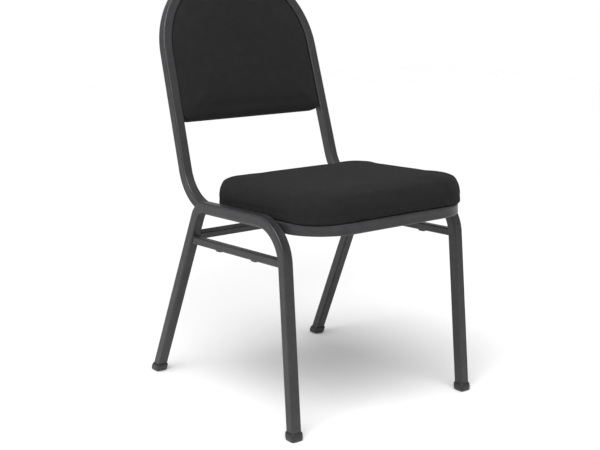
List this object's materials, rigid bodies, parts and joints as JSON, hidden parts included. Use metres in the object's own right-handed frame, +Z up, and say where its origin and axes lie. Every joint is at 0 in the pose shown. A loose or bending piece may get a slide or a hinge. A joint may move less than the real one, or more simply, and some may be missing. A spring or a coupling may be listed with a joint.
{
  "type": "stacking chair",
  "caption": "Armless stacking chair: welded square steel tube frame, dome-shaped padded back inside a hoop, and a padded seat on a ring between two leg frames.",
  "frame": {"origin": "on the floor, at the centre of the chair's bounding box in plan", "axes": "+Z up; the chair faces -Y; +X is towards the sitter's left"},
  "size_m": [0.4824, 0.6149, 0.9043],
  "materials": {
    "frame_steel": "charcoal vein powder coat",
    "nylon": "moulded black nylon",
    "zinc_plate": "bright zinc plate",
    "fabric": "black woven polyester",
    "foam": "open-cell polyurethane foam",
    "plywood": "bare plywood",
    "hardboard": "bare hardboard",
    "dust_cloth": "black spun-bonded sheet"
  },
  "bodies": {
    "root": {"back_hoop": "frame_steel", "seat_front_rail": "frame_steel", "leg_frame_left": "frame_steel", "leg_frame_right": "frame_steel", "side_stretcher_left": "frame_steel", "side_stretcher_right": "frame_steel", "rear_stretcher": "frame_steel", "seat_brace_front": "frame_steel", "seat_brace_rear": "frame_steel", "back_tab_lower_left": "frame_steel", "back_tab_lower_right": "frame_steel", "back_tab_upper_left": "frame_steel", "back_tab_upper_right": "frame_steel", "glide_front_left": "nylon", "glide_front_right": "nylon", "glide_rear_left": "nylon", "glide_rear_right": "nylon", "stack_bumper_front_left": "nylon", "stack_bumper_front_right": "nylon", "stack_bumper_rear_left": "nylon", "stack_bumper_rear_right": "nylon", "seat_screw_front_left": "zinc_plate", "seat_screw_front_right": "zinc_plate", "seat_screw_rear_left": "zinc_plate", "seat_screw_rear_right": "zinc_plate", "seat_tee_nut_front_left": "zinc_plate", "seat_tee_nut_front_right": "zinc_plate", "seat_tee_nut_rear_left": "zinc_plate", "seat_tee_nut_rear_right": "zinc_plate", "back_screw_lower_left": "zinc_plate", "back_screw_lower_right": "zinc_plate", "back_screw_upper_left": "zinc_plate", "back_screw_upper_right": "zinc_plate", "seat_cover": "fabric", "back_front_cover": "fabric", "back_rear_cover": "fabric", "seat_foam": "foam", "back_foam": "foam", "seat_board": "plywood", "back_board": "plywood", "back_rear_panel": "hardboard", "seat_dust_sheet": "dust_cloth"}
  },
  "joints": []
}
